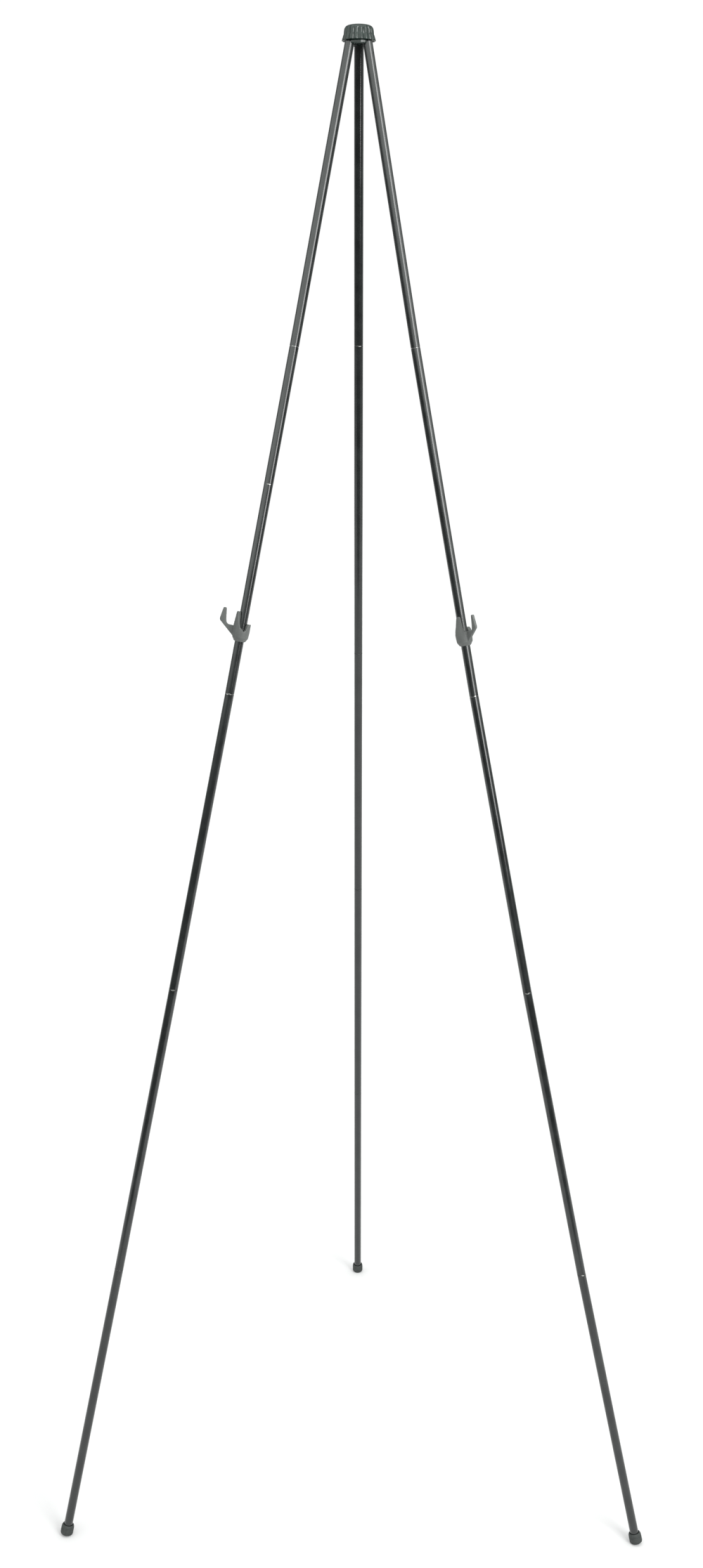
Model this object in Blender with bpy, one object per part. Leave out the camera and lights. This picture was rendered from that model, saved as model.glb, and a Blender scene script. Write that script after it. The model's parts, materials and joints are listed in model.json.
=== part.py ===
"""Folding tripod field easel: three shock-corded tube legs under a fluted head, with two sliding holders.

Units are metres and +Z is up. The origin is on the floor, at the centre of the easel's footprint.
The two front legs stand towards -Y and the rear leg towards +Y.
Each leg section is built in a frame of its own: +Z runs up the leg, +X leans outwards from the
head's axis, and the frame's origin is the joint at the section's top.
"""

import math

import bmesh
import bpy
import numpy as np
from mathutils import Matrix, Vector

MM = 0.001

# Legs: where they start, how they lean and how long their sections are.
PIVOT_HEIGHT = 1.589
PIVOT_RADIUS = 9.0 * MM
LEG_TILT = math.radians(12.79)
SECTION_LENGTHS = (0.3012, 0.358, 0.3235, 0.3235)
SECTIONS = 5
LEGS = {
    "left": {"azimuth": math.radians(210), "slack": math.radians(0.25)},
    "right": {"azimuth": math.radians(330), "slack": math.radians(0.75)},
    "rear": {"azimuth": math.radians(90), "slack": 0.0},
}

# Tubes and the ferrules that join them.
TUBE_R = 4.75 * MM
TUBE_BORE_R = 4.25 * MM
TUBE_GAP = 0.4 * MM
TUBE_SEGMENTS = 20
FERRULE_R = 3.9 * MM
FERRULE_BORE_R = 1.9 * MM
FERRULE_TOP = 30.0 * MM
NOSE = 4.2 * MM
NOSE_END_R = 2.5 * MM
FERRULE_SEGMENTS = 16
FOLD_OFFSET = 5.25 * MM
CLEAR = 0.3 * MM

# Shock cord.
CORD_R = 1.5 * MM
CORD_SEGMENTS = 8
KNOT_R = 2.7 * MM
KNOT_LENGTH = 5.0 * MM

# Leg-top plug: a knuckle on the hinge pin, above a stem in the first tube.
KNUCKLE_R = 4.1 * MM
KNUCKLE_WIDTH = 8.9 * MM
SHOULDER_DROP = 4.8 * MM
STEM_END = 20.0 * MM
CORD_SOCKET = 8.0 * MM
PIN_R = 1.2 * MM
PIN_LENGTH = 12.6 * MM
PIN_HOLE_R = 1.5 * MM

# Head: a slotted hub under a fluted cap.
HEAD_TOP = 1.600
HUB_R = 12.6 * MM
HUB_BOTTOM = 1.5813
HUB_TOP = 1.5952
HUB_CHAMFER = 1.0 * MM
SLOT_WIDTH = 9.6 * MM
SLOT_START_R = 4.0 * MM
SLOT_TOP = PIVOT_HEIGHT + KNUCKLE_R + 0.4 * MM
CAP_SKIRT_R = 16.8 * MM
CAP_SKIRT_BORE_R = 15.4 * MM
CAP_SHOULDER_R = 14.4 * MM
CAP_WALL = 1.5 * MM
SKIRT_BOTTOM = 1.5847
FLUTES = 18
FLUTE_DEPTH = 0.55 * MM
CAP_SEGMENTS = 54

# Rubber foot tips.
TIP_R = 7.2 * MM
TIP_TOP_R = 5.8 * MM
TIP_HEIGHT = 13.0 * MM
TIP_SHOULDER = 9.2 * MM
TIP_SOCKET_FLOOR = 4.4 * MM
TIP_DOME_R = 11.0 * MM
TIP_DOME_CENTRE = 10.2 * MM
TIP_SEGMENTS = 20

# Display holders. Heights in them are measured from the floor of the slot, along the tube.
HOLDER_DROP = {"left": 0.2875, "right": 0.2895}
HOLDER_AZIMUTH = {"left": math.radians(160), "right": math.radians(301)}
COLLAR_BOTTOM = -15.0 * MM
COLLAR_CHAMFER = -11.0 * MM
COLLAR_R = 8.8 * MM
COLLAR_BORE_R = 5.15 * MM
COLLAR_LIP_R = 5.95 * MM
BUSH_SEAT_R = 6.15 * MM
BUSH_SEAT = (-11.5 * MM, -5.0 * MM)
BUSH_R = 5.85 * MM
BUSH_BORE_R = 5.05 * MM
BUSH_SPLIT = math.radians(24)
FIN_R = (9.4 * MM, 8.4 * MM)
FIN_HEIGHT = 15.9
FIN_ANGLES = (20, 100)
COLUMNS = 48
WEB_THICKNESS = 2.6 * MM
# Height of the collar's rim in mm against the angle from the hook towards the fin, in degrees:
# back wall, slot floor, fin, side notch, and the back wall again.
RIM = ((-180, 4.0), (-150, 4.0), (-130, 3.6), (-90, 3.6), (-74, 2.0), (-62, 0.0), (27, 0.0), (33, 7.0),
       (38, 15.0), (46, 15.9), (60, 15.9), (68, 15.0), (84, 5.5), (98, 0.0), (116, -2.0), (131, -4.3),
       (146, -2.4), (156, 1.8), (168, 4.0), (180, 4.0))
# The holders are a mirrored pair: +1 has its fin anticlockwise of its hook, seen from above.
HAND = {"left": 1, "right": -1}

BLACK_PAINT = ("black_paint", (0.012, 0.013, 0.013), 0.28, 0.0)
BLACK_PLASTIC = ("black_plastic", (0.014, 0.017, 0.016), 0.38, 0.0)
GREY_PLASTIC = ("grey_plastic", (0.104, 0.111, 0.106), 0.5, 0.0)
BLACK_RUBBER = ("black_rubber", (0.02, 0.022, 0.021), 0.75, 0.0)
STEEL = ("zinc_steel", (0.62, 0.62, 0.6), 0.3, 1.0)
CORD = ("black_cord", (0.02, 0.02, 0.022), 0.85, 0.0)


# ---------------------------------------------------------------- helpers


def clear_scene():
    for obj in list(bpy.data.objects):
        bpy.data.objects.remove(obj, do_unlink=True)


def material(spec):
    """The Principled material of this name, made the first time it is asked for."""
    name, colour, roughness, metallic = spec
    found = bpy.data.materials.get(name)
    if found:
        return found
    made = bpy.data.materials.new(name)
    made.use_nodes = True
    shader = made.node_tree.nodes["Principled BSDF"]
    shader.inputs["Base Color"].default_value = (*colour, 1.0)
    shader.inputs["Roughness"].default_value = roughness
    shader.inputs["Metallic"].default_value = metallic
    made.diffuse_color = (*colour, 1.0)
    return made


def add_object(name, bm, frame, spec, pivot=(0, 0, 0), smooth=True):
    """An object from a bmesh drawn in a frame, with its own origin at a pivot given in that frame."""
    bmesh.ops.recalc_face_normals(bm, faces=bm.faces)
    bmesh.ops.translate(bm, verts=bm.verts, vec=-Vector(pivot))
    mesh = bpy.data.meshes.new(name)
    bm.to_mesh(mesh)
    bm.free()
    if smooth:
        mesh.shade_smooth()
        mesh.set_sharp_from_angle(angle=math.radians(35))
    mesh.materials.append(material(spec))
    obj = bpy.data.objects.new(name, mesh)
    obj.matrix_world = frame @ Matrix.Translation(pivot)
    bpy.context.scene.collection.objects.link(obj)
    return obj


def turned(profile, segments):
    """A solid of revolution about Z. A profile point at radius 0 closes the shape on the axis."""
    bm = bmesh.new()
    rings = []
    for radius, height in profile:
        if radius == 0:
            rings.append([bm.verts.new((0, 0, height))])
            continue
        angles = [2 * math.pi * i / segments for i in range(segments)]
        rings.append([bm.verts.new((radius * math.cos(a), radius * math.sin(a), height)) for a in angles])
    pairs = list(zip(rings, rings[1:]))
    if len(rings[0]) > 1 and len(rings[-1]) > 1:
        pairs.append((rings[-1], rings[0]))
    for upper, lower in pairs:
        join_rings(bm, upper, lower)
    return bm


def join_rings(bm, upper, lower):
    """Faces between two rings of vertices, either of which may be a single point."""
    count = max(len(upper), len(lower))
    for i in range(count):
        corners = [upper[i % len(upper)], upper[(i + 1) % len(upper)]]
        corners += [lower[(i + 1) % len(lower)], lower[i % len(lower)]]
        bm.faces.new(list(dict.fromkeys(corners)))


def extruded(outline, axis, low, high):
    """A prism: an outline in the plane across `axis` ('y' or 'z'), from low to high along it."""
    bm = bmesh.new()

    def point(pair, along):
        return (pair[0], along, pair[1]) if axis == "y" else (pair[0], pair[1], along)

    bottom = [bm.verts.new(point(pair, low)) for pair in outline]
    top = [bm.verts.new(point(pair, high)) for pair in outline]
    bm.faces.new(bottom)
    bm.faces.new(list(reversed(top)))
    join_rings(bm, top, bottom)
    return bm


def arc(radius, start, end, steps, centre=(0.0, 0.0)):
    """Points along an arc, from one angle to another, both ends included."""
    points = []
    for i in range(steps + 1):
        angle = start + (end - start) * i / steps
        points.append((centre[0] + radius * math.cos(angle), centre[1] + radius * math.sin(angle)))
    return points


def boolean(target, tool, operation):
    """Joins or cuts a target with a hidden tool object."""
    tool.hide_render = True
    tool.display_type = "WIRE"
    step = target.modifiers.new(f"{operation.lower()}_{tool.name}", "BOOLEAN")
    step.operation = operation
    step.object = tool
    step.solver = "EXACT"


# ---------------------------------------------------------------- the legs' frames


def section_frame(origin, azimuth, tilt):
    """Frame of a leg section: +Z up the leg, +X outwards, +Y round the head's axis."""
    outward = Vector((math.cos(azimuth), math.sin(azimuth), 0))
    up = Vector((0, 0, 1))
    along = outward * -math.sin(tilt) + up * math.cos(tilt)
    across = outward * math.cos(tilt) + up * math.sin(tilt)
    side = along.cross(across)
    columns = Matrix((across, side, along)).transposed()
    return Matrix.Translation(origin) @ columns.to_4x4()


def leg_chain(azimuth, slack, head_y):
    """The frame and length of each section. The last section reaches the floor."""
    outward = Vector((math.cos(azimuth), math.sin(azimuth), 0))
    joint = Vector((0, head_y, PIVOT_HEIGHT)) + outward * PIVOT_RADIUS
    chain = []
    for i in range(SECTIONS):
        tilt = LEG_TILT + slack * (i - 2)
        frame = section_frame(joint, azimuth, tilt)
        length = SECTION_LENGTHS[i] if i < len(SECTION_LENGTHS) else joint.z / math.cos(tilt)
        chain.append((frame, length))
        joint = frame @ Vector((0, 0, -length))
    return chain


def head_offset():
    """Y of the head's axis that puts the footprint's centre, front tips to rear tip, at Y = 0."""
    reach = PIVOT_RADIUS + PIVOT_HEIGHT * math.tan(LEG_TILT)
    return -reach * (1 - math.sin(math.radians(30))) / 2


HEAD_Y = head_offset()


def fold_side(joint):
    """+1 for a joint that folds outwards and -1 inwards, so that the sections stack like a fan."""
    return 1 if joint % 2 == 1 else -1


def fold_pivot(joint):
    """A fold's axis in the lower section's frame, just outside the tubes' rims."""
    return (fold_side(joint) * FOLD_OFFSET, 0, 0)


# ---------------------------------------------------------------- leg pieces


def make_tube(leg, number, frame, length):
    """One painted tube. The first starts under its plug and the last ends in the foot tip."""
    top = -SHOULDER_DROP - CLEAR if number == 1 else -TUBE_GAP / 2
    bottom = -length + (TIP_SOCKET_FLOOR + CLEAR if number == SECTIONS else TUBE_GAP / 2)
    profile = [(TUBE_R, top), (TUBE_R, bottom), (TUBE_BORE_R, bottom), (TUBE_BORE_R, top)]
    pivot = (0, 0, 0) if number == 1 else fold_pivot(number - 1)
    add_object(f"{leg}_tube_{number}", turned(profile, TUBE_SEGMENTS), frame, BLACK_PAINT, pivot)


def make_ferrule(leg, number, frame, length):
    """The inner sleeve at a section's lower end. Its rounded nose just enters the next tube."""
    reach = FOLD_OFFSET + FERRULE_R
    profile = [(FERRULE_R - 0.4 * MM, FERRULE_TOP), (FERRULE_R, FERRULE_TOP - 0.8 * MM)]
    for drop in (1.2 * MM, 2.3 * MM, 3.3 * MM):
        swing = math.sqrt(reach ** 2 + (1.2 * MM) ** 2 - drop ** 2) - FOLD_OFFSET
        profile.append((min(FERRULE_R, swing), -drop))
    profile += [(NOSE_END_R, -NOSE), (FERRULE_BORE_R, -NOSE), (FERRULE_BORE_R, FERRULE_TOP)]
    end = frame @ Matrix.Translation((0, 0, -length))
    add_object(f"{leg}_ferrule_{number}", turned(profile, FERRULE_SEGMENTS), end, STEEL)


def make_cord(leg, number, frame, length):
    """The stretch of shock cord inside one section. The last ends in the foot's knot."""
    top = -(STEM_END - CORD_SOCKET + CLEAR) if number == 1 else -NOSE - 0.6 * MM
    if number < SECTIONS:
        bottom = -length - NOSE + CLEAR
        profile = [(0, top), (CORD_R, top), (CORD_R, bottom), (0, bottom)]
    else:
        low = -length + TIP_SOCKET_FLOOR + 2 * CLEAR
        high = low + KNOT_LENGTH
        middle = (low + high) / 2
        profile = [(0, top), (CORD_R, top), (CORD_R, high), (KNOT_R, middle + 1 * MM)]
        profile += [(KNOT_R, middle - 1 * MM), (CORD_R, low), (0, low)]
    pivot = (0, 0, 0) if number == 1 else fold_pivot(number - 1)
    add_object(f"{leg}_cord_{number}", turned(profile, CORD_SEGMENTS), frame, CORD, pivot)


def make_plug(leg, frame):
    """Leg-top plug: a rounded knuckle with a pin hole, and a stem that holds the cord's end."""
    outline = arc(KNUCKLE_R, 0, math.pi, 10)
    outline += [(-KNUCKLE_R, -SHOULDER_DROP), (KNUCKLE_R, -SHOULDER_DROP)]
    knuckle = extruded(outline, "y", -KNUCKLE_WIDTH / 2, KNUCKLE_WIDTH / 2)
    plug = add_object(f"{leg}_leg_top_plug", knuckle, frame, BLACK_PLASTIC)
    socket_top = -STEM_END + CORD_SOCKET
    profile = [(0, -SHOULDER_DROP + 1 * MM), (FERRULE_R, -SHOULDER_DROP + 1 * MM)]
    profile += [(FERRULE_R, -STEM_END + 0.8 * MM), (FERRULE_R - 0.6 * MM, -STEM_END)]
    profile += [(FERRULE_BORE_R, -STEM_END), (FERRULE_BORE_R, socket_top), (0, socket_top)]
    stem = add_object(f"{leg}_stem_tool", turned(profile, FERRULE_SEGMENTS), frame, BLACK_PLASTIC)
    boolean(plug, stem, "UNION")
    hole = extruded(arc(PIN_HOLE_R, 0, 2 * math.pi * 11 / 12, 11), "y", -0.01, 0.01)
    cutter = add_object(f"{leg}_plug_hole_tool", hole, frame, BLACK_PLASTIC)
    boolean(plug, cutter, "DIFFERENCE")


def make_foot_tip(leg, frame, length):
    """Rubber tip with a domed underside, worn flat where it stands on the floor."""
    tilt = frame.to_3x3().col[2].angle(Vector((0, 0, 1)))
    centre = TIP_DOME_CENTRE / math.cos(tilt)
    edge = 6.2 * MM
    profile = [(0, centre - TIP_DOME_R)]
    for radius in (2.0 * MM, 4.2 * MM, edge):
        profile.append((radius, centre - math.sqrt(TIP_DOME_R ** 2 - radius ** 2)))
    profile += [(TIP_R - 0.25 * MM, 2.4 * MM), (TIP_R, 3.6 * MM), (TIP_R, TIP_SHOULDER)]
    profile += [(TIP_R - 0.6 * MM, TIP_SHOULDER + 2.4 * MM), (TIP_TOP_R, TIP_HEIGHT)]
    profile += [(TUBE_R + CLEAR, TIP_HEIGHT)]
    profile += [(TUBE_R + CLEAR, TIP_SOCKET_FLOOR), (0, TIP_SOCKET_FLOOR)]
    bm = turned(profile, TIP_SEGMENTS)
    foot = frame @ Matrix.Translation((0, 0, -length))
    floor = foot.inverted()
    cut = bmesh.ops.bisect_plane(
        bm,
        geom=bm.verts[:] + bm.edges[:] + bm.faces[:],
        plane_co=floor.to_translation(),
        plane_no=floor.to_3x3() @ Vector((0, 0, 1)),
        clear_inner=True,
    )
    rim = [item for item in cut["geom_cut"] if isinstance(item, bmesh.types.BMEdge)]
    bmesh.ops.edgeloop_fill(bm, edges=rim)
    pivot = Vector((0, 0, length)) + Vector(fold_pivot(SECTIONS - 1))
    add_object(f"{leg}_foot_tip", bm, foot, BLACK_RUBBER, pivot)


def make_leg(leg, azimuth, slack):
    chain = leg_chain(azimuth, slack, HEAD_Y)
    for number, (frame, length) in enumerate(chain, start=1):
        make_tube(leg, number, frame, length)
        make_cord(leg, number, frame, length)
        if number < SECTIONS:
            make_ferrule(leg, number, frame, length)
    make_plug(leg, chain[0][0])
    make_foot_tip(leg, *chain[-1])


# ---------------------------------------------------------------- head


def head_frame(azimuth=0.0, height=0.0):
    """A frame on the head's axis, turned so that +X points along an azimuth."""
    return Matrix.Translation((0, HEAD_Y, height)) @ Matrix.Rotation(azimuth, 4, "Z")


def make_hub():
    """Hub: a short disc with a slot and a cross hole for each leg's knuckle."""
    edge = HUB_R - HUB_CHAMFER
    profile = [(0, HUB_TOP), (edge, HUB_TOP), (HUB_R, HUB_TOP - HUB_CHAMFER)]
    profile += [(HUB_R, HUB_BOTTOM + HUB_CHAMFER), (edge, HUB_BOTTOM), (0, HUB_BOTTOM)]
    hub = add_object("head_hub", turned(profile, 36), head_frame(), BLACK_PLASTIC)
    for leg, spec in LEGS.items():
        half = SLOT_WIDTH / 2
        outer = HUB_R + 4 * MM
        plan = [(SLOT_START_R, -half), (outer, -half), (outer, half), (SLOT_START_R, half)]
        slot = extruded(plan, "z", HUB_BOTTOM - 2 * MM, SLOT_TOP)
        frame = head_frame(spec["azimuth"])
        boolean(hub, add_object(f"{leg}_slot_tool", slot, frame, BLACK_PLASTIC), "DIFFERENCE")
        centre = (PIVOT_RADIUS, PIVOT_HEIGHT)
        circle = arc(PIN_HOLE_R, 0, 2 * math.pi * 11 / 12, 11, centre)
        reach = PIN_LENGTH / 2 + CLEAR
        hole = extruded(circle, "y", -reach, reach)
        boolean(hub, add_object(f"{leg}_hub_hole_tool", hole, frame, BLACK_PLASTIC), "DIFFERENCE")


def make_pin(leg, azimuth):
    half = PIN_LENGTH / 2
    chamfer = 0.3 * MM
    profile = [(0, half), (PIN_R - chamfer, half), (PIN_R, half - chamfer)]
    profile += [(PIN_R, -half + chamfer), (PIN_R - chamfer, -half), (0, -half)]
    place = head_frame(azimuth, PIVOT_HEIGHT) @ Matrix.Translation((PIVOT_RADIUS, 0, 0))
    across = place @ Matrix.Rotation(math.radians(90), 4, "X")
    add_object(f"{leg}_hinge_pin", turned(profile, 12), across, STEEL)


def flute(azimuth):
    """Depth of the skirt's flutes at an azimuth."""
    return FLUTE_DEPTH * (1 - math.cos(FLUTES * azimuth)) / 2


def make_cap():
    """Fluted cap: a shallow dome over a flared skirt, open underneath."""
    bm = bmesh.new()
    shoulder = HEAD_TOP - 4.4 * MM
    dome = ((5.0 * MM, 0.25 * MM), (9.6 * MM, 0.9 * MM), (12.6 * MM, 2.0 * MM), (13.9 * MM, 3.2 * MM))
    rings = [[bm.verts.new((0, 0, HEAD_TOP))]]
    angles = [2 * math.pi * i / CAP_SEGMENTS for i in range(CAP_SEGMENTS)]

    def ring(height, radius, share):
        """A ring at a height, with its share of the flutes' depth cut away."""
        made = []
        for angle in angles:
            r = radius - share * flute(angle)
            made.append(bm.verts.new((r * math.cos(angle), r * math.sin(angle), height)))
        rings.append(made)

    for radius, drop in dome:
        ring(HEAD_TOP - drop, radius, 0.0)
    ring(shoulder, CAP_SHOULDER_R, 0.3)
    ring(shoulder - 2.5 * MM, CAP_SHOULDER_R + 0.5 * MM, 1.0)
    ring(SKIRT_BOTTOM, CAP_SKIRT_R, 1.0)
    ring(SKIRT_BOTTOM, CAP_SKIRT_BORE_R, 0.0)
    ring(shoulder, CAP_SHOULDER_R - CAP_WALL + 0.3 * MM, 0.0)
    ring(HEAD_TOP - 3.3 * MM, 10.6 * MM, 0.0)
    rings.append([bm.verts.new((0, 0, HEAD_TOP - CAP_WALL))])
    for upper, lower in zip(rings, rings[1:]):
        join_rings(bm, upper, lower)
    add_object("head_cap", bm, head_frame(), BLACK_PLASTIC)


# ---------------------------------------------------------------- display holders


def holder_frame(leg):
    """A holder's frame: on its tube's axis at the slot's floor, with +X towards the hook."""
    spec = LEGS[leg]
    frame, _length = leg_chain(spec["azimuth"], spec["slack"], HEAD_Y)[1]
    turn = HOLDER_AZIMUTH[leg] - spec["azimuth"]
    return frame @ Matrix.Translation((0, 0, -HOLDER_DROP[leg])) @ Matrix.Rotation(turn, 4, "Z")


def make_bush(leg):
    """Split bush: it grips the tube, and the holder turns round it."""
    half = BUSH_SPLIT / 2
    outline = arc(BUSH_R, half, 2 * math.pi - half, 16)
    outline += arc(BUSH_BORE_R, 2 * math.pi - half, half, 16)
    low, high = BUSH_SEAT
    bm = extruded(outline, "z", low + CLEAR, high - CLEAR)
    add_object(f"{leg}_grip_bush", bm, holder_frame(leg), BLACK_RUBBER)


def rim_outer(degrees, height):
    """Outer radius of the collar's rim: the fin leans in towards the tube as it rises."""
    first, last = FIN_ANGLES
    if height <= 0 or not first < degrees < last:
        return COLLAR_R
    low, high = FIN_R
    return low + (high - low) * height / FIN_HEIGHT


def make_collar(hand):
    """The collar, with its rim raised into a fin beside the hook and cut away behind the fin."""
    bm = bmesh.new()
    angles, heights = zip(*RIM)
    rings = []
    for i in range(COLUMNS):
        degrees = 360 * i / COLUMNS - 180
        height = float(np.interp(degrees, angles, heights))
        rim, outer = height * MM, rim_outer(degrees, height)
        profile = [(COLLAR_LIP_R, COLLAR_BOTTOM), (COLLAR_R - 0.4 * MM, COLLAR_CHAMFER), (outer, rim)]
        profile += [(COLLAR_BORE_R, rim), (COLLAR_BORE_R, BUSH_SEAT[1]), (BUSH_SEAT_R, BUSH_SEAT[1])]
        profile += [(BUSH_SEAT_R, BUSH_SEAT[0]), (COLLAR_BORE_R, BUSH_SEAT[0]), (COLLAR_BORE_R, COLLAR_BOTTOM)]
        angle = hand * math.radians(degrees)
        rings.append([bm.verts.new((r * math.cos(angle), r * math.sin(angle), z)) for r, z in profile])
    for ring, following in zip(rings, rings[1:] + rings[:1]):
        join_rings(bm, ring, following)
    return bm


def hook_outline():
    """Side view of the web that carries the hook: slanted underside, elbow, prong and slot."""
    outside = [(6.6, -12.0), (10.5, -9.0), (15.5, -5.2), (20.6, -1.3), (25.8, 2.7), (26.3, 4.4), (24.3, 15.4)]
    tip = arc(1.45, math.radians(10), math.radians(170), 4, (22.85, 15.3))
    inside = [(19.6, 4.6), (19.2, 2.4), (18.1, 0.7), (16.4, 0.0), (6.6, 0.0)]
    return [(x * MM, z * MM) for x, z in outside + tip + inside]


def make_holder(leg):
    frame = holder_frame(leg)
    holder = add_object(f"{leg}_holder", make_collar(HAND[leg]), frame, GREY_PLASTIC)
    web = extruded(hook_outline(), "y", -WEB_THICKNESS / 2, WEB_THICKNESS / 2)
    boolean(holder, add_object(f"{leg}_hook_tool", web, frame, GREY_PLASTIC), "UNION")


# ---------------------------------------------------------------- assembly


def main():
    clear_scene()
    make_hub()
    make_cap()
    for leg, spec in LEGS.items():
        make_pin(leg, spec["azimuth"])
        make_leg(leg, spec["azimuth"], spec["slack"])
    for leg in HOLDER_DROP:
        make_bush(leg)
        make_holder(leg)


main()
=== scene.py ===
import json
import math

import bmesh
import bpy
import numpy as np
from mathutils import Matrix, Vector


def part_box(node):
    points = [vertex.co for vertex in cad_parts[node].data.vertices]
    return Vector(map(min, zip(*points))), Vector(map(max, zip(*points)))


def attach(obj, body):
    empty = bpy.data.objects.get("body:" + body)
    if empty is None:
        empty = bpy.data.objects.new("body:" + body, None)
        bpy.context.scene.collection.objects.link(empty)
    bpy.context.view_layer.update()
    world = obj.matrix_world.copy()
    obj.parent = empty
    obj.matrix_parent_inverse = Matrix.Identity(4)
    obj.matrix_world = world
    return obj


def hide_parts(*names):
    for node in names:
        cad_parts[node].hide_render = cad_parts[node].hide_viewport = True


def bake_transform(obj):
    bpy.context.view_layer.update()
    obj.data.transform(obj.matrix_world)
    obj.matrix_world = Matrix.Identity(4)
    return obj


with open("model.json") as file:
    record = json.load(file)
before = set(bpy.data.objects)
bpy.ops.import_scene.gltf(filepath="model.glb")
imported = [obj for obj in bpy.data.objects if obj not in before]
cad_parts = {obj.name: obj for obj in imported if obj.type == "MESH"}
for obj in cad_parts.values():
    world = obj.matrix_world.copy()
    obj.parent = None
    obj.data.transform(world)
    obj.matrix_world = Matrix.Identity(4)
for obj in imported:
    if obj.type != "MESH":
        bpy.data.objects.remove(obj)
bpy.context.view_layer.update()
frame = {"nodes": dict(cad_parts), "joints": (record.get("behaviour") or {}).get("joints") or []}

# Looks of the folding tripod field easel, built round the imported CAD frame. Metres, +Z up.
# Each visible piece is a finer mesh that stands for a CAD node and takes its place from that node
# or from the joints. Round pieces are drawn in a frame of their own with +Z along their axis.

MM = 0.001
LEGS = ("left", "right", "rear")
HOLDER_SIDES = ("left", "right")
SECTIONS = 5
FINE = 64
CORNER_STEPS = 4
FULL_TURN = 2 * math.pi

# Radiance of the lights, of the even white backdrop, and of the room that the tubes reflect.
KEY = 6.5
OVERHEAD = 0.4
BACKDROP = (1.02, 1.02, 1.02)
ROOM_LOW = (0.06, 0.06, 0.06)
ROOM_HIGH = (2.1, 2.2, 2.15)
ROOM_BACK = (0.45, 0.47, 0.46)

# Places where the paint has been rubbed through to bare steel, as glints at the tube ends:
# leg, section, end, angle round the tube from its outer side towards the viewer's side, in degrees.
CHIPS = (
    ("rear", 1, "bottom", 172), ("rear", 2, "top", 195),
    ("left", 2, "bottom", 62), ("left", 3, "top", 30), ("left", 3, "bottom", 66), ("left", 4, "top", 50),
    ("right", 3, "bottom", -80), ("right", 3, "bottom", -38), ("right", 4, "top", -60),
    ("right", 4, "bottom", -56), ("right", 5, "top", -40), ("right", 2, "bottom", -50),
)
SCUFF = {"leg": "left", "section": 2, "drop": 0.139, "angle": 70}


# ---------------------------------------------------------------- places, from the frame


def joint(name):
    return next(j for j in frame["joints"] if j["name"] == name)


def cloud(node):
    """A CAD node's vertices as an array."""
    return np.array([vertex.co for vertex in frame["nodes"][node].data.vertices])


def axes(up, side, origin):
    """Frame with +Z along up and +Y along side."""
    up, side = Vector(up).normalized(), Vector(side).normalized()
    columns = Matrix((side.cross(up), side, up)).transposed()
    return Matrix.Translation(origin) @ columns.to_4x4()


def up_the_leg(leg, number):
    """Unit vector up a section: its pull joint's line, or for the last section its tube's own line."""
    if number < SECTIONS:
        return -Vector(joint(f"{leg}_pull_{number}")["axis"])
    points = cloud(f"{leg}_tube_{number}")
    line = Vector(np.linalg.svd(points - points.mean(0), full_matrices=False)[2][0])
    return line if line.z > 0 else -line


def section_place(leg, number):
    """A tube's frame, with its origin at the top end, its length, and its outer and bore radius."""
    up = up_the_leg(leg, number)
    points = cloud(f"{leg}_tube_{number}")
    middle = points.mean(0)
    heights = (points - middle) @ np.array(up)
    radii = np.linalg.norm(points - middle - np.outer(heights, np.array(up)), axis=1)
    top = Vector(middle) + up * float(heights.max())
    place = axes(up, joint(f"{leg}_leg_swing")["axis"], top)
    return place, float(np.ptp(heights)), float(radii.max()), float(radii.min())


def span(node, place):
    """Lowest and highest value along a frame's +Z that a CAD node reaches."""
    inverse = np.array(place.inverted())
    heights = cloud(node) @ inverse[2, :3] + inverse[2, 3]
    return float(heights.min()), float(heights.max())


def girth(node, place):
    """Largest distance of a CAD node's vertices from a frame's Z axis."""
    inverse = np.array(place.inverted())
    flat = cloud(node) @ inverse[:2, :3].T + inverse[:2, 3]
    return float(np.linalg.norm(flat, axis=1).max())


# ---------------------------------------------------------------- mesh helpers


def join_rings(bm, upper, lower):
    """Faces between two rings of vertices, either of which may be a single point."""
    for i in range(max(len(upper), len(lower))):
        corners = [upper[i % len(upper)], upper[(i + 1) % len(upper)]]
        corners += [lower[(i + 1) % len(lower)], lower[i % len(lower)]]
        bm.faces.new(list(dict.fromkeys(corners)))


def lathe(profile, segments=FINE, radius_at=None):
    """A solid of revolution about Z. The radius may be varied with the angle by a function.
    A profile point at radius 0 closes the shape on the axis; otherwise its ends are joined."""
    bm = bmesh.new()
    rings = []
    for index, (radius, height) in enumerate(profile):
        if radius == 0:
            rings.append([bm.verts.new((0, 0, height))])
            continue
        ring = []
        for i in range(segments):
            angle = FULL_TURN * i / segments
            r = radius_at(index, radius, angle) if radius_at else radius
            ring.append(bm.verts.new((r * math.cos(angle), r * math.sin(angle), height)))
        rings.append(ring)
    pairs = list(zip(rings, rings[1:]))
    if len(rings[0]) > 1 and len(rings[-1]) > 1:
        pairs.append((rings[-1], rings[0]))
    for upper, lower in pairs:
        join_rings(bm, upper, lower)
    return bm


def rounded(corner, start, end, radius):
    """Points that round a corner of a profile between the directions of its two neighbours."""
    corner, start, end = Vector(corner), Vector(start), Vector(end)
    first = corner + (start - corner).normalized() * radius
    last = corner + (end - corner).normalized() * radius
    points = []
    for i in range(CORNER_STEPS + 1):
        t = i / CORNER_STEPS
        point = first * (1 - t) ** 2 + corner * 2 * t * (1 - t) + last * t ** 2
        points.append((point.x, point.y))
    return points


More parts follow.
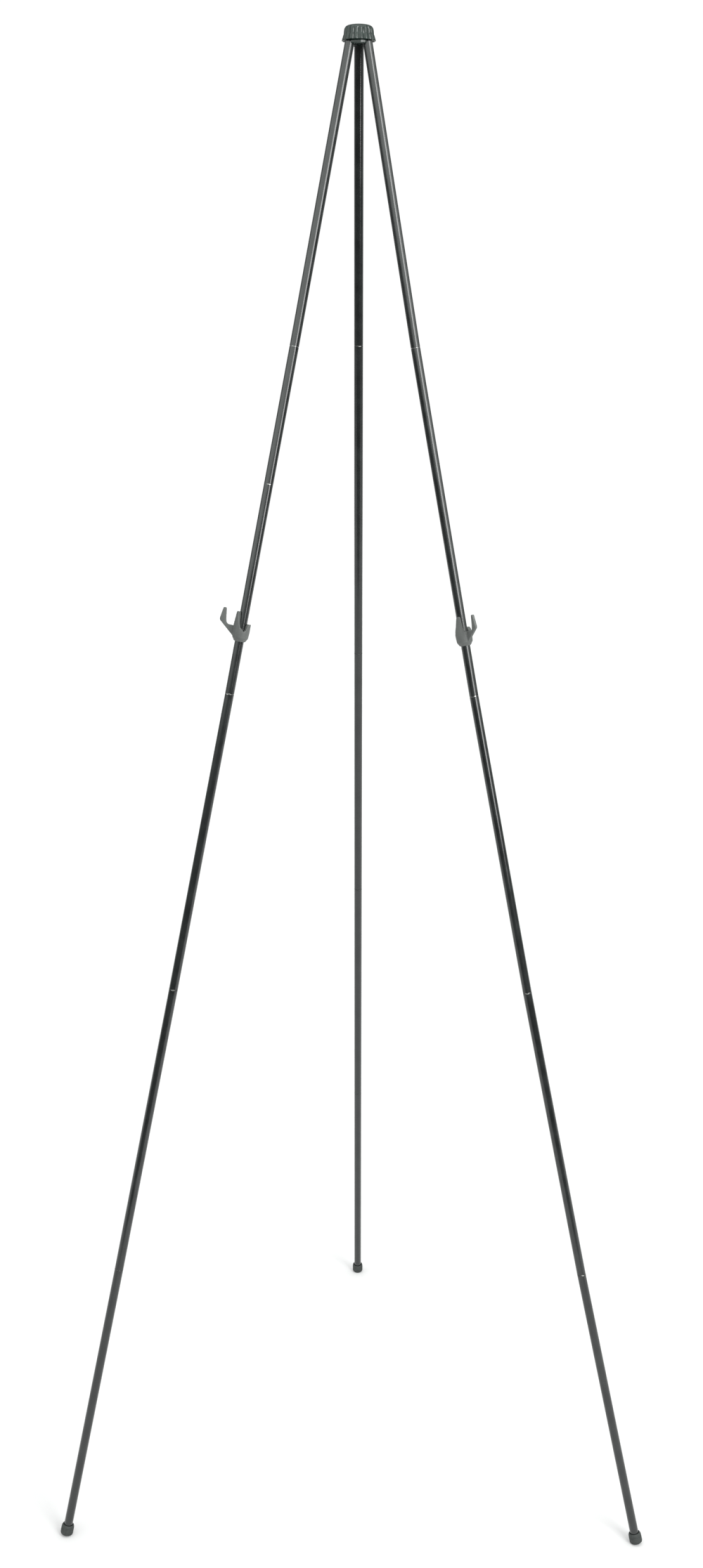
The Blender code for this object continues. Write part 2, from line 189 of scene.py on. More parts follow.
def soften(outline, radii):
    """An outline with each corner rounded by its own radius; 0 keeps a corner sharp."""
    made = []
    count = len(outline)
    for i, (corner, radius) in enumerate(zip(outline, radii)):
        if radius == 0:
            made.append(corner)
        else:
            made += rounded(corner, outline[i - 1], outline[(i + 1) % count], radius)
    return made


def finish_mesh(name, bm, place, angle=40):
    """An object from a bmesh, smooth shaded except at edges sharper than the angle."""
    bmesh.ops.recalc_face_normals(bm, faces=bm.faces)
    mesh = bpy.data.meshes.new(name)
    bm.to_mesh(mesh)
    bm.free()
    mesh.shade_smooth()
    mesh.set_sharp_from_angle(angle=math.radians(angle))
    obj = bpy.data.objects.new(name, mesh)
    obj.matrix_world = place
    bpy.context.scene.collection.objects.link(obj)
    return obj


def dress(obj, material, body, slot, *nodes):
    """Gives a piece its material, the body it rides on and the CAD nodes it stands for. The slot argument is
    not used.
    """
    obj.data.materials.append(material)
    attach(obj, body)
    if nodes:
        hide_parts(*nodes)


# ---------------------------------------------------------------- materials


def shader_tree(name):
    """A new material, its node tree and its Principled shader."""
    material = bpy.data.materials.new(name)
    material.use_nodes = True
    tree = material.node_tree
    shader = tree.nodes["Principled BSDF"]
    return material, tree, shader


def noise(tree, scale, detail=4.0, stretch=None, distortion=0.0):
    """Noise in the piece's own space, in cycles a metre, optionally stretched along an axis."""
    coordinates = tree.nodes.new("ShaderNodeTexCoord")
    source = coordinates.outputs["Object"]
    if stretch:
        mapping = tree.nodes.new("ShaderNodeMapping")
        mapping.inputs["Scale"].default_value = stretch
        tree.links.new(source, mapping.inputs["Vector"])
        source = mapping.outputs["Vector"]
    texture = tree.nodes.new("ShaderNodeTexNoise")
    texture.inputs["Scale"].default_value = scale
    texture.inputs["Detail"].default_value = detail
    texture.inputs["Distortion"].default_value = distortion
    tree.links.new(source, texture.inputs["Vector"])
    return texture.outputs["Fac"]


def ramp(tree, source, stops):
    """A colour ramp over (position, colour or grey value) stops."""
    node = tree.nodes.new("ShaderNodeValToRGB")
    elements = node.color_ramp.elements
    while len(elements) < len(stops):
        elements.new(0.5)
    for element, (position, value) in zip(elements, stops):
        element.position = position
        colour = value if isinstance(value, tuple) else (value, value, value)
        element.color = (*colour, 1.0)
    tree.links.new(source, node.inputs["Fac"])
    return node.outputs["Color"]


def bump(tree, shader, source, strength, distance):
    node = tree.nodes.new("ShaderNodeBump")
    node.inputs["Strength"].default_value = strength
    node.inputs["Distance"].default_value = distance
    tree.links.new(source, node.inputs["Height"])
    tree.links.new(node.outputs["Normal"], shader.inputs["Normal"])


def mixed(tree, mask, first, second):
    """First where the mask is 0 and second where it is 1."""
    node = tree.nodes.new("ShaderNodeMix")
    node.data_type = "RGBA"
    tree.links.new(mask, node.inputs["Factor"])
    for source, socket in ((first, node.inputs["A"]), (second, node.inputs["B"])):
        if isinstance(source, tuple):
            socket.default_value = (*source, 1.0)
        else:
            tree.links.new(source, socket)
    return node.outputs["Result"]


def wear_mask(tree, grain, low, high):
    """The mesh's wear, from 0 to 1, broken up by a fine noise into an uneven edge."""
    attribute = tree.nodes.new("ShaderNodeAttribute")
    attribute.attribute_name = "wear"
    rough_edge = tree.nodes.new("ShaderNodeMath")
    rough_edge.operation = "MULTIPLY_ADD"
    rough_edge.inputs[1].default_value = 0.9
    tree.links.new(noise(tree, grain, 5.0), rough_edge.inputs[0])
    tree.links.new(attribute.outputs["Fac"], rough_edge.inputs[2])
    return ramp(tree, rough_edge.outputs["Value"], ((low, 0.0), (high, 1.0)))


def black_paint():
    """Gloss black paint on steel: orange peel, faint cloudiness, and bare metal where it is worn."""
    material, tree, shader = shader_tree("gloss_black_paint")
    paint = ramp(tree, noise(tree, 70, 3.0), ((0.3, (0.007, 0.008, 0.008)), (0.75, (0.015, 0.017, 0.017))))
    steel = ramp(tree, noise(tree, 900, 3.0), ((0.3, (0.26, 0.26, 0.25)), (0.7, (0.52, 0.52, 0.5))))
    mask = wear_mask(tree, 1400, 0.98, 1.12)
    tree.links.new(mixed(tree, mask, paint, steel), shader.inputs["Base Color"])
    tree.links.new(mask, shader.inputs["Metallic"])
    gloss = ramp(tree, noise(tree, 45, 4.0), ((0.3, 0.15), (0.7, 0.24)))
    tree.links.new(mixed(tree, mask, gloss, (0.3, 0.3, 0.3)), shader.inputs["Roughness"])
    bump(tree, shader, noise(tree, 650, 2.0), 0.10, 0.05 * MM)
    shader.inputs["Coat Weight"].default_value = 0.35
    shader.inputs["Coat Roughness"].default_value = 0.09
    return material


def black_plastic():
    """Semi-gloss black moulding with a fine skin and a faint, uneven teal-black tone."""
    material, tree, shader = shader_tree("moulded_black_plastic")
    tone = ramp(tree, noise(tree, 220, 4.0), ((0.35, (0.004, 0.010, 0.008)), (0.75, (0.009, 0.020, 0.016))))
    tree.links.new(tone, shader.inputs["Base Color"])
    gloss = ramp(tree, noise(tree, 160, 5.0), ((0.3, 0.13), (0.7, 0.22)))
    tree.links.new(gloss, shader.inputs["Roughness"])
    bump(tree, shader, noise(tree, 1900, 3.0), 0.14, 0.04 * MM)
    return material


def grey_plastic():
    """Mid-grey moulding: matte grained skin, faint flow marks and slightly paler worn edges."""
    material, tree, shader = shader_tree("moulded_grey_plastic")
    flow = noise(tree, 95, 3.0, (1.0, 1.0, 0.35), 0.6)
    tone = ramp(tree, flow, ((0.3, (0.070, 0.075, 0.072)), (0.7, (0.094, 0.100, 0.096))))
    attribute = tree.nodes.new("ShaderNodeAttribute")
    attribute.attribute_name = "wear"
    worn = mixed(tree, attribute.outputs["Fac"], tone, (0.15, 0.16, 0.152))
    tree.links.new(worn, shader.inputs["Base Color"])
    gloss = ramp(tree, noise(tree, 300, 4.0), ((0.3, 0.42), (0.7, 0.56)))
    tree.links.new(gloss, shader.inputs["Roughness"])
    bump(tree, shader, noise(tree, 2300, 4.0), 0.22, 0.05 * MM)
    return material


def black_rubber():
    """Matte rubber, scuffed grey where it touches the floor."""
    material, tree, shader = shader_tree("moulded_rubber")
    tone = ramp(tree, noise(tree, 260, 5.0), ((0.3, (0.016, 0.019, 0.018)), (0.75, (0.036, 0.042, 0.039))))
    mask = wear_mask(tree, 700, 0.95, 1.35)
    tree.links.new(mixed(tree, mask, tone, (0.10, 0.105, 0.10)), shader.inputs["Base Color"])
    gloss = ramp(tree, noise(tree, 190, 4.0), ((0.3, 0.55), (0.7, 0.78)))
    tree.links.new(gloss, shader.inputs["Roughness"])
    bump(tree, shader, noise(tree, 1500, 5.0), 0.3, 0.06 * MM)
    return material


def zinc_steel():
    """Bright plated steel, drawn lengthwise, with a fine scratch pattern."""
    material, tree, shader = shader_tree("drawn_zinc_steel")
    lengthwise = noise(tree, 2600, 3.0, (1.0, 1.0, 0.03))
    tone = ramp(tree, lengthwise, ((0.3, (0.50, 0.50, 0.49)), (0.7, (0.70, 0.70, 0.68))))
    tree.links.new(tone, shader.inputs["Base Color"])
    shader.inputs["Metallic"].default_value = 1.0
    gloss = ramp(tree, noise(tree, 120, 4.0), ((0.3, 0.2), (0.7, 0.36)))
    tree.links.new(gloss, shader.inputs["Roughness"])
    bump(tree, shader, lengthwise, 0.12, 0.02 * MM)
    return material


def braided_cord():
    """Black braided cover of the elastic cord, with a faint sheen on its strands."""
    material, tree, shader = shader_tree("braided_black_cord")
    tone = ramp(tree, noise(tree, 2400, 4.0), ((0.3, (0.012, 0.012, 0.014)), (0.7, (0.045, 0.045, 0.05))))
    tree.links.new(tone, shader.inputs["Base Color"])
    gloss = ramp(tree, noise(tree, 900, 3.0), ((0.3, 0.6), (0.7, 0.85)))
    tree.links.new(gloss, shader.inputs["Roughness"])
    bump(tree, shader, noise(tree, 3800, 4.0), 0.4, 0.08 * MM)
    shader.inputs["Sheen Weight"].default_value = 0.3
    return material


# ---------------------------------------------------------------- tubes and ferrules


def tube_rings(length, radius, bore, dense):
    """Outer profile heights of a tube, close together at both ends and round a scuff."""
    near = [0.25 * MM, 0.5 * MM, 0.8 * MM, 1.2 * MM, 1.8 * MM, 2.6 * MM, 4.0 * MM, 8.0 * MM]
    heights = [-d for d in near] + [-length + d for d in near]
    heights += [-length * i / 8 for i in range(1, 8)]
    if dense:
        heights += [-dense + 0.35 * MM * i for i in range(-8, 9)]
    heights = sorted(heights, reverse=True)
    rim = 0.12 * MM
    outer = [(radius - rim, 0.0)] + [(radius, -rim)] + [(radius, z) for z in heights]
    outer += [(radius, -length + rim), (radius - rim, -length)]
    inner = [(bore + rim, -length), (bore, -length + rim), (bore, -length + 20 * MM)]
    inner += [(bore, -20 * MM), (bore, -rim), (bore + rim, 0.0)]
    return outer + inner


def chip_strength(height, angle, spots):
    """Wear from the chips near a point: 1 at the centre of a chip, falling off around it."""
    wear = 0.0
    for spot_height, spot_angle, tall, wide in spots:
        away = (angle - spot_angle + math.pi) % FULL_TURN - math.pi
        wear = max(wear, math.exp(-((height - spot_height) / tall) ** 2 - (away / wide) ** 2))
    return wear


def make_tube(leg, number, paint):
    place, length, radius, bore = section_place(leg, number)
    spots = []
    for chip_leg, section, end, degrees in CHIPS:
        if (chip_leg, section) == (leg, number):
            height = 0.0 if end == "top" else -length
            spots.append((height, math.radians(degrees), 0.75 * MM, math.radians(22)))
    scuffed = (SCUFF["leg"], SCUFF["section"]) == (leg, number)
    if scuffed:
        spots.append((-SCUFF["drop"], math.radians(SCUFF["angle"]), 0.6 * MM, math.radians(34)))
    profile = tube_rings(length, radius, bore, SCUFF["drop"] if scuffed else None)
    bm = lathe(profile)
    layer = bm.verts.layers.float.new("wear")
    for vertex in bm.verts:
        end_distance = min(-vertex.co.z, vertex.co.z + length)
        inside = math.hypot(vertex.co.x, vertex.co.y) < (radius + bore) / 2
        wear = 0.3 * math.exp(-end_distance / (0.3 * MM))
        wear = max(wear, chip_strength(vertex.co.z, math.atan2(vertex.co.y, vertex.co.x), spots))
        vertex[layer] = 1.0 if inside else wear
    tube = finish_mesh(f"{leg}_tube_{number}_painted", bm, place, 50)
    dress(tube, paint, f"{leg}_section_{number}", "black_paint", f"{leg}_tube_{number}")


def make_ferrule(leg, number, steel):
    """The inner sleeve: chamfered top, a rolled groove where it is held, and the rounded nose."""
    place = section_place(leg, number)[0]
    node = f"{leg}_ferrule_{number}"
    low, high = span(node, place)
    radius, bore, nose = girth(node, place), 1.95 * MM, 4.2 * MM
    groove = high - 6 * MM
    profile = [(radius - 0.5 * MM, high), (radius - 0.15 * MM, high - 0.3 * MM), (radius, high - 0.9 * MM)]
    profile += [(radius, groove), (radius - 0.25 * MM, groove - 0.3 * MM)]
    profile += [(radius - 0.25 * MM, groove - 0.9 * MM), (radius, groove - 1.2 * MM)]
    steps = 8
    shoulder = low + nose - 1.2 * MM
    end = radius - 1.15 * MM
    for i in range(steps + 1):
        t = i / steps
        drop = (nose - 1.2 * MM) * t
        profile.append((radius - (radius - end) * t ** 2, shoulder - drop))
    profile += [(end - 0.2 * MM, low), (bore, low), (bore, high)]
    sleeve = finish_mesh(f"{node}_sleeve", lathe(profile, 48), place)
    dress(sleeve, steel, node, "zinc_steel", node)


# ---------------------------------------------------------------- cord


def cord_mesh(low, high, radius, knot=None):
    """A braided cord along Z: eight strands wind round it one way and eight the other."""
    pitch = 1.4 * MM
    count = max(2, math.ceil((high - low) / pitch))
    profile = [(0, low)] + [(radius, low + (high - low) * i / count) for i in range(count + 1)] + [(0, high)]

    def braid(index, base, angle):
        height = profile[index][1]
        twist = height / (9 * MM) * FULL_TURN
        ridge = math.cos(4 * angle + twist) * math.cos(4 * angle - twist)
        swell = knot[1] * math.exp(-((height - knot[0]) / (2.2 * MM)) ** 2) if knot else 0.0
        return base + 0.07 * MM * ridge + swell

    return lathe(profile, 16, braid)


def make_cords(leg, material):
    """One straight stretch in each section and a straight bridge across each joint, which stays where it is
    placed.
    """
    for number in range(1, SECTIONS + 1):
        place = section_place(leg, number)[0]
        node = f"{leg}_cord_{number}"
        low, high = span(node, place)
        bottom = low if number == SECTIONS else low + 8 * MM
        top = high if number == 1 else high - 3 * MM
        knot = (low + 2.5 * MM, 1.1 * MM) if number == SECTIONS else None
        stretch = finish_mesh(f"{node}_braided", cord_mesh(bottom, top, 1.4 * MM, knot), place)
        dress(stretch, material, f"{leg}_section_{number}", "black_cord", node)
    for number in range(1, SECTIONS):
        upper = section_place(leg, number)[0]
        nose = span(f"{leg}_ferrule_{number}", upper)[0]
        place = upper @ Matrix.Translation((0, 0, nose))
        bridge = finish_mesh(f"{leg}_cord_bridge_{number}", cord_mesh(-4.2 * MM, 6 * MM, 1.4 * MM), place)
        bridge.data.materials.append(material)
        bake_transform(bridge)


# ---------------------------------------------------------------- foot tips


def make_foot_tip(leg, rubber):
    """Rubber tip: rolled mouth, a moulded line under its shoulder, a domed and flattened sole."""
    tube, _length, radius, _bore = section_place(leg, SECTIONS)
    node = f"{leg}_foot_tip"
    place = tube @ Matrix.Translation((0, 0, span(node, tube)[1]))
    body, mouth = 7.03 * MM, radius + 0.3 * MM
    top = [(mouth, -1.2 * MM), (mouth, -0.3 * MM), (mouth + 0.3 * MM, 0.0), (5.5 * MM, 0.0)]
    top += [(5.9 * MM, -0.25 * MM), (6.35 * MM, -0.9 * MM), (6.72 * MM, -1.8 * MM), (6.93 * MM, -2.9 * MM)]
    line = [(6.99 * MM, -4.1 * MM), (6.78 * MM, -4.3 * MM), (6.78 * MM, -4.6 * MM), (body, -4.85 * MM)]
    sole_centre = -13.0 * MM + 10.45 * MM
    sole_radius = 11.0 * MM
    edge = [(body, -9.2 * MM), (7.02 * MM, -10.1 * MM), (6.8 * MM, -10.8 * MM), (6.5 * MM, -11.3 * MM)]
    sole = []
    for r in (6.0 * MM, 5.0 * MM, 4.0 * MM, 3.0 * MM, 1.6 * MM):
        sole.append((r, sole_centre - math.sqrt(sole_radius ** 2 - r ** 2)))
    sole.append((0, sole_centre - sole_radius))
    socket = [(0, -8.6 * MM), (mouth, -8.6 * MM)]
    bm = lathe(socket + top + line + edge + sole, FINE)
    bmesh.ops.recalc_face_normals(bm, faces=bm.faces)
    centre = place.to_translation()
    bm.transform(place.to_3x3().to_4x4())
    cut = bmesh.ops.bisect_plane(
        bm,
        geom=bm.verts[:] + bm.edges[:] + bm.faces[:],
        plane_co=(0, 0, -centre.z),
        plane_no=(0, 0, 1),
        clear_inner=True,
    )
    rim = [item for item in cut["geom_cut"] if isinstance(item, bmesh.types.BMEdge)]
    bmesh.ops.edgeloop_fill(bm, edges=rim)
    layer = bm.verts.layers.float.new("wear")
    for vertex in bm.verts:
        above_floor = centre.z + vertex.co.z
        vertex[layer] = math.exp(-above_floor / (1.1 * MM))
    tip = finish_mesh(f"{node}_moulded", bm, Matrix.Translation(centre))
    dress(tip, rubber, f"{leg}_section_{SECTIONS}", "black_rubber", node)


# ---------------------------------------------------------------- head cap


def make_cap(plastic):
    """Fluted cap: nearly flat dome, rounded shoulder, upright wall and a flared hem, open underneath."""
    low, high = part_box("head_cap")
    place = Matrix.Translation((0, joint_axis_y(), high.z))
    hem, hem_radius = (low.z - high.z) / MM, (high.x - low.x) / 2 / MM
    ribs, depth = 18, 1.25
    dome = [(0, 0.0), (1.2, -0.02), (1.5, -0.16), (1.9, -0.18), (2.2, -0.06), (5.0, -0.2), (7.5, -0.42)]
    dome += [(9.6, -0.75), (11.4, -1.2), (12.4, -1.65), (13.2, -2.25), (13.8, -3.0), (14.2, -3.8)]
    wall = [(14.45, -4.7), (14.6, -5.6), (14.75, -6.9), (14.85, -8.2), (14.95, -9.2), (15.2, -9.6)]
    wall += [(15.45, -10.2), (15.8, -11.4), (16.2, -12.7), (16.6, -14.0), (hem_radius, hem + 0.4)]
    rim = [(hem_radius - 0.15, hem + 0.1), (hem_radius - 0.4, hem), (15.45, hem), (15.2, hem + 0.25)]
    inside = [(14.3, hem + 5), (13.1, -4.4), (10.6, -3.3), (0, -1.6)]
    profile = [(radius * MM, height * MM) for radius, height in dome + wall + rim + inside]
    first, last = len(dome) - 3, len(dome) + len(wall) + 1

    def fluted(index, radius, angle):
        if index < first or index > last:
            return radius
        share = min(1.0, (index - first + 1) / 5)
        valley = 1 - abs(math.cos(ribs / 2 * angle))
        return radius - depth * MM * share * valley

    cap = finish_mesh("head_cap_fluted", lathe(profile, 288, fluted), place, 50)
    dress(cap, plastic, "head", "black_plastic", "head_cap")


def make_hub(plastic):
    """The hub that the three legs hinge in, with a moulded radius along its edges."""
    node = frame["nodes"]["head_hub"]
    hub = bpy.data.objects.new("head_hub_moulded", node.data.copy())
    bpy.context.scene.collection.objects.link(hub)
    hub.matrix_world = node.matrix_world
    radius = hub.modifiers.new("radius", "BEVEL")
    radius.width, radius.segments = 0.3 * MM, 3
    radius.limit_method, radius.angle_limit = "ANGLE", math.radians(40)
    mesh = applied(hub)
    mesh.materials.clear()
    hub.modifiers.clear()
    hub.data = mesh
    mesh.shade_smooth()
    mesh.set_sharp_from_angle(angle=math.radians(35))
    dress(hub, plastic, "head", "black_plastic", "head_hub")


def joint_axis_y():
    """Y of the head's own axis: the middle of the cap's top, which is its highest point."""
    points = cloud("head_cap")
    return float(points[points[:, 2].argmax()][1])


# ---------------------------------------------------------------- display holders

# Height of the collar's rim in mm against the angle from the hook towards the fin, in degrees:
# back wall, slot floor, fin, side notch, and the back wall again.
RIM = (
    (-180, 3.9), (-150, 3.9), (-130, 3.5), (-90, 3.5), (-74, 2.0), (-62, 0.0), (27, 0.0), (33, 7.0),
    (38, 14.9), (46, 15.8), (60, 15.8), (68, 14.9), (84, 5.5), (98, 0.0), (116, -2.0), (131, -4.3),
    (146, -2.4), (156, 1.8), (168, 3.9), (180, 3.9),
)
COLLAR_R = 8.7 * MM
# The fin leans in towards the tube as it rises.
FIN_HEIGHT = 15.9 * MM
FIN_BASE_R = 9.3 * MM
FIN_LEAN = 1.0 * MM
# The two holders are a mirrored pair: +1 has its fin anticlockwise of its hook, seen from above.
HAND = {"left": 1, "right": -1}


def holder_place(side):
    """A holder's frame: on its swivel's axis, with +X towards the hook's tip."""
    swivel = joint(f"{side}_holder_swivel")
    origin, up = Vector(swivel["pos_m"]), Vector(swivel["axis"]).normalized()
    offsets = cloud(f"{side}_holder") - np.array(origin)
    flat = offsets - np.outer(offsets @ np.array(up), np.array(up))
    reach = np.linalg.norm(flat, axis=1)
    across = Vector(flat[reach > reach.max() - 0.3 * MM].mean(0))
    return axes(up, up.cross(across), origin)


def collar_mesh(hand):
    """The collar with its rim following the rim table, and the seat for the bush inside."""
    count, bore, seat = 144, 5.2 * MM, 6.2 * MM
    angles, heights = zip(*RIM)
    bm = bmesh.new()
    rings = []
    for i in range(count):
        degrees = 360 * i / count - 180
        rim = float(np.interp(degrees, angles, heights)) * MM
        outer = COLLAR_R
        if rim > 0 and 20 < degrees < 100:
            outer = FIN_BASE_R - FIN_LEAN * rim / FIN_HEIGHT
        profile = [(5.85 * MM, -14.9 * MM), (8.3 * MM, -11.0 * MM)]
        profile += [(8.6 * MM, -7.0 * MM), (COLLAR_R, -5.0 * MM), (outer, rim), (bore, rim)]
        profile += [(bore, -5.0 * MM), (seat, -5.0 * MM)]
        profile += [(seat, -11.5 * MM), (bore, -11.5 * MM), (bore, -14.9 * MM)]
        angle = hand * math.radians(degrees)
        rings.append([bm.verts.new((r * math.cos(angle), r * math.sin(angle), z)) for r, z in profile])
    for ring, following in zip(rings, rings[1:] + rings[:1]):
        join_rings(bm, ring, following)
    bmesh.ops.recalc_face_normals(bm, faces=bm.faces)
    return bm


def web_mesh():
    """The web that carries the hook: slanted underside, elbow, prong and slot, with soft corners."""
    outline = [(6.6, -12.0), (10.5, -9.0), (15.5, -5.2), (20.6, -1.3), (25.7, 2.6), (26.2, 4.4)]
    outline += [(24.2, 15.2), (23.9, 16.5), (21.3, 16.6), (21.0, 15.3)]
    outline += [(19.5, 4.6), (18.4, 1.2), (16.1, 0.0), (6.6, 0.0)]
    corners = (0, 0, 0, 0.6, 1.2, 1.6, 0, 1.1, 1.1, 0, 1.5, 1.6, 1.4, 0)
    points = soften([(x * MM, z * MM) for x, z in outline], [c * MM for c in corners])
    half = 1.25 * MM
    bm = bmesh.new()
    sides = [[bm.verts.new((x, y, z)) for x, z in points] for y in (-half, half)]
    bm.faces.new(sides[0])
    bm.faces.new(list(reversed(sides[1])))
    join_rings(bm, sides[0], sides[1])
    bmesh.ops.recalc_face_normals(bm, faces=bm.faces)
    return bm


def plain_object(name, bm):
    mesh = bpy.data.meshes.new(name)
    bm.to_mesh(mesh)
    bm.free()
    obj = bpy.data.objects.new(name, mesh)
    bpy.context.scene.collection.objects.link(obj)
    return obj


def applied(obj):
    """The object's mesh with its modifiers applied, as a new mesh."""
    graph = bpy.context.evaluated_depsgraph_get()
    return bpy.data.meshes.new_from_object(obj.evaluated_get(graph))


def make_holder(side, plastic):
    """Collar and web joined, then remeshed and relaxed so that every edge has a moulded radius."""
    name = f"{side}_holder_moulded"
    holder = plain_object(name, collar_mesh(HAND[side]))
    web = plain_object(f"{name}_web", web_mesh())
    union = holder.modifiers.new("join", "BOOLEAN")
    union.operation, union.object, union.solver = "UNION", web, "MANIFOLD"
    remesh = holder.modifiers.new("skin", "REMESH")
    remesh.mode, remesh.voxel_size = "VOXEL", 0.22 * MM
    relax = holder.modifiers.new("soften", "SMOOTH")
    relax.factor, relax.iterations = 0.5, 6
    mesh = applied(holder)
    mesh.materials.clear()
    bpy.data.objects.remove(web)
    holder.modifiers.clear()
    holder.data = mesh
    mesh.shade_smooth()
    shade_edges(mesh)
    holder.matrix_world = holder_place(side)
    dress(holder, plastic, f"{side}_holder", "grey_plastic", f"{side}_holder")


def shade_edges(mesh):
    """Stores a wear value that is high along the convex edges of a smooth mesh."""
    wear = mesh.attributes.new("wear", "FLOAT", "POINT")
    points = np.zeros(len(mesh.vertices) * 3, np.float32)
    normals = np.zeros(len(mesh.vertices) * 3, np.float32)
    mesh.vertices.foreach_get("co", points)
    mesh.vertices.foreach_get("normal", normals)
    points, normals = points.reshape(-1, 3), normals.reshape(-1, 3)
    edges = np.zeros(len(mesh.edges) * 2, np.int64)
    mesh.edges.foreach_get("vertices", edges)
    edges = edges.reshape(-1, 2)
    way = points[edges[:, 1]] - points[edges[:, 0]]
    turn = normals[edges[:, 1]] - normals[edges[:, 0]]
    bend = (turn * way).sum(1) / np.maximum((way ** 2).sum(1), 1e-12)
    total, count = np.zeros(len(points)), np.zeros(len(points))
    for column in (0, 1):
        np.add.at(total, edges[:, column], bend)
        np.add.at(count, edges[:, column], 1)
    curve = total / np.maximum(count, 1)
    values = np.clip((curve - 500) / 1500, 0, 1).astype(np.float32) * 0.6
    wear.data.foreach_set("value", values)


# ---------------------------------------------------------------- the CAD nodes that stay


def repaint(node, material):
    """Gives a CAD node that stays visible a procedural material."""
    mesh = frame["nodes"][node].data
    mesh.materials.clear()
    mesh.materials.append(material)


# ---------------------------------------------------------------- stage, light and camera


def make_floor():
    """A sheet of pale paper under the easel, which ends a good step in front of it. Its colour holds painted
    light: darker in front and paler far behind, to even out the lamps' falloff.
    """
    bm = bmesh.new()
    near, far, half = -1.45, 7.0, 4.0
    corners = ((-half, near, 0), (half, near, 0), (half, far, 0), (-half, far, 0))
    bm.faces.new([bm.verts.new(corner) for corner in corners])
    floor = plain_object("floor", bm)
    floor.location.z = -0.0002
    material, tree, shader = shader_tree("pale_floor")
    place, split = tree.nodes.new("ShaderNodeTexCoord"), tree.nodes.new("ShaderNodeSeparateXYZ")
    tree.links.new(place.outputs["Object"], split.inputs["Vector"])
    # Painted light: the floor's colour runs from darker in front of the easel to paler far behind it, to
    # make up for the lamps' light falling off with distance.
    depth = stepped(tree, split.outputs["Y"], -0.5, 3.5)
    stops = ((0.0, 0.725), (0.13, 0.745), (0.35, 0.788), (0.58, 0.812), (0.92, 0.84), (1.0, 0.86))
    tone = ramp(tree, depth, stops)
    cloudy = ramp(tree, noise(tree, 3, 2.0), ((0.3, 0.0), (0.7, 0.1)))
    tree.links.new(mixed(tree, cloudy, tone, (0.9, 0.9, 0.9)), shader.inputs["Base Color"])
    shader.inputs["Roughness"].default_value = 0.9
    shader.inputs["Specular IOR Level"].default_value = 0.2
    floor.data.materials.append(material)


def stepped(tree, source, low, high):
    """0 below low and 1 above high, with a straight slope between them."""
    node = tree.nodes.new("ShaderNodeMapRange")
    node.inputs["From Min"].default_value = low
    node.inputs["From Max"].default_value = high
    tree.links.new(source, node.inputs["Value"])
    return node.outputs["Result"]


def make_world():
    """Even white behind the easel. The tubes reflect a room instead: dark low down in front of
    the easel, bright above the viewer's eyes, and pale behind it."""
    world = bpy.data.worlds.new("studio")
    bpy.context.scene.world = world
    world.use_nodes = True
    tree = world.node_tree
    tree.nodes.clear()
    output = tree.nodes.new("ShaderNodeOutputWorld")
    choose = tree.nodes.new("ShaderNodeMixShader")
    path = tree.nodes.new("ShaderNodeLightPath")
    room, backdrop = tree.nodes.new("ShaderNodeBackground"), tree.nodes.new("ShaderNodeBackground")
    direction = tree.nodes.new("ShaderNodeTexCoord")
    split = tree.nodes.new("ShaderNodeSeparateXYZ")
    tree.links.new(direction.outputs["Generated"], split.inputs["Vector"])
    front = mixed(tree, stepped(tree, split.outputs["Z"], 0.06, 0.16), ROOM_LOW, ROOM_HIGH)
    around = mixed(tree, stepped(tree, split.outputs["Y"], -0.2, 0.3), front, ROOM_BACK)
    tree.links.new(around, room.inputs["Color"])
    backdrop.inputs["Color"].default_value = (*BACKDROP, 1.0)
    even = tree.nodes.new("ShaderNodeMath")
    even.operation = "MAXIMUM"
    tree.links.new(path.outputs["Is Camera Ray"], even.inputs[0])
    tree.links.new(path.outputs["Is Diffuse Ray"], even.inputs[1])
    tree.links.new(even.outputs["Value"], choose.inputs["Fac"])
    tree.links.new(room.outputs["Background"], choose.inputs[1])
    tree.links.new(backdrop.outputs["Background"], choose.inputs[2])
    tree.links.new(choose.outputs["Shader"], output.inputs["Surface"])


def make_light(name, location, target, width, height, radiance):
    """A soft box of a given radiance, facing its target."""
    data = bpy.data.lights.new(name, "AREA")
    data.shape = "RECTANGLE"
    data.size, data.size_y = width, height
    data.energy = math.pi * width * height * radiance
    light = bpy.data.objects.new(name, data)
    light.location = location
    light.rotation_mode = "QUATERNION"
    light.rotation_quaternion = (Vector(target) - Vector(location)).to_track_quat("-Z", "Y")
    bpy.context.scene.collection.objects.link(light)


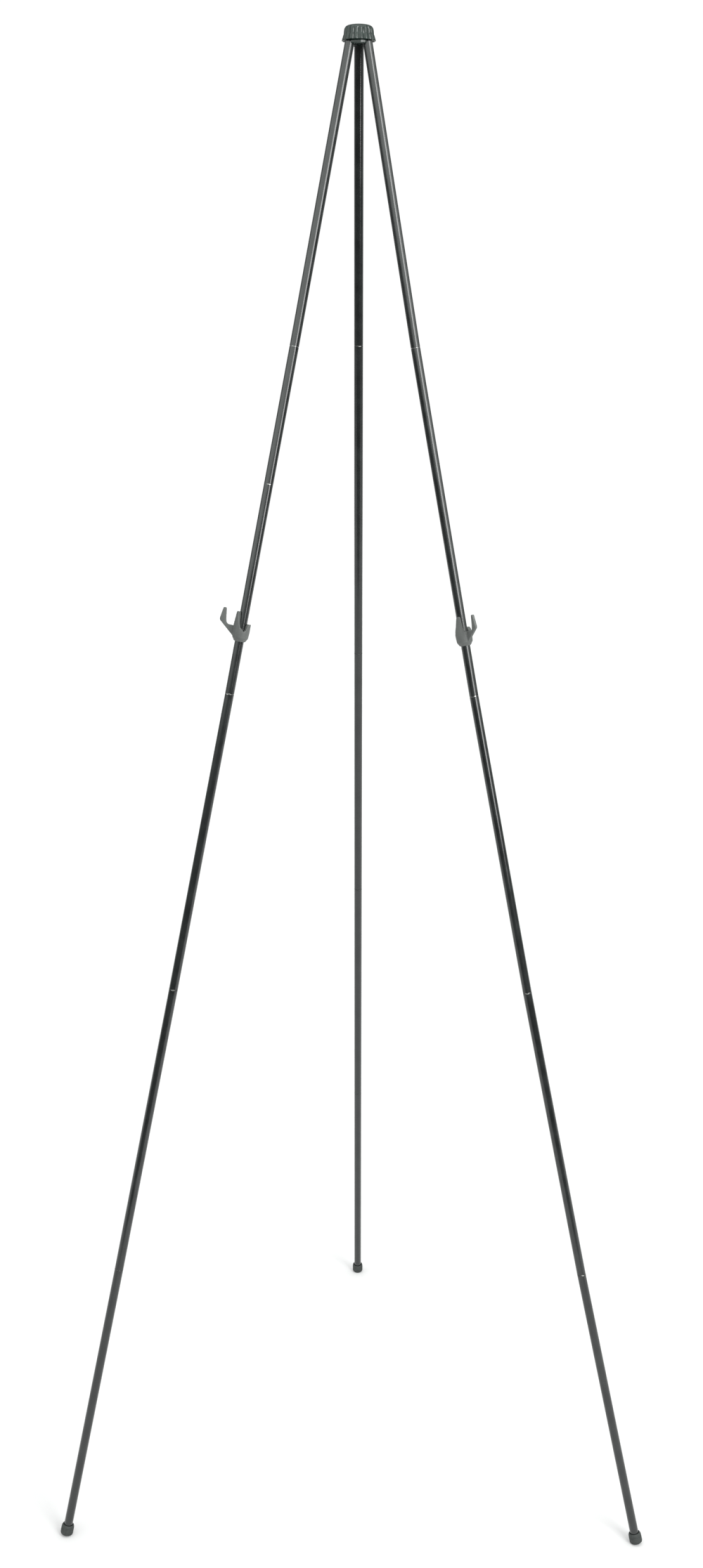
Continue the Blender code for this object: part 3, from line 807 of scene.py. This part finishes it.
def make_lights():
    axis_y = joint_axis_y()
    turn, distance, low, high = math.radians(-52), 2.2, 0.82, 3.3
    middle = (low + high) / 2
    key = (math.cos(turn) * distance, axis_y + math.sin(turn) * distance, middle)
    make_light("key", key, (0, axis_y, middle), 1.0, high - low, KEY)
    make_light("overhead", (0, axis_y + 0.1, 3.2), (0, axis_y + 0.1, 0), 2.4, 2.0, OVERHEAD)


def make_camera():
    """The viewer stands about 1.8 m in front of the easel and looks down at it by about 15 degrees."""
    offset = Vector((0.0255, -1.7729, 1.3096))
    yaw, pitch, roll = math.radians(0.98), math.radians(-15.18), math.radians(0.185)
    forward = Vector((-math.sin(yaw) * math.cos(pitch), math.cos(yaw) * math.cos(pitch), math.sin(pitch)))
    level = Vector((math.cos(yaw), math.sin(yaw), 0))
    upright = level.cross(forward)
    right = level * math.cos(roll) + upright * math.sin(roll)
    up = upright * math.cos(roll) - level * math.sin(roll)
    data = bpy.data.cameras.new("camera")
    data.sensor_width = 36.0
    data.lens = 38.3
    camera = bpy.data.objects.new("camera", data)
    place = Matrix((right, up, -forward)).transposed().to_4x4()
    camera.matrix_world = Matrix.Translation(offset + Vector((0, joint_axis_y(), 0))) @ place
    bpy.context.scene.collection.objects.link(camera)
    bpy.context.scene.camera = camera


def make_stage():
    make_floor()
    make_world()
    make_lights()
    make_camera()
    bpy.context.scene.view_settings.view_transform = "Standard"


# ---------------------------------------------------------------- assembly


def main():
    paint, plastic, grey = black_paint(), black_plastic(), grey_plastic()
    rubber, steel, cord = black_rubber(), zinc_steel(), braided_cord()
    for leg in LEGS:
        for number in range(1, SECTIONS + 1):
            make_tube(leg, number, paint)
        for number in range(1, SECTIONS):
            make_ferrule(leg, number, steel)
        make_cords(leg, cord)
        make_foot_tip(leg, rubber)
        repaint(f"{leg}_leg_top_plug", plastic)
        repaint(f"{leg}_hinge_pin", steel)
    make_cap(plastic)
    make_hub(plastic)
    for side in HOLDER_SIDES:
        make_holder(side, grey)
        repaint(f"{side}_grip_bush", rubber)
    make_stage()


main()
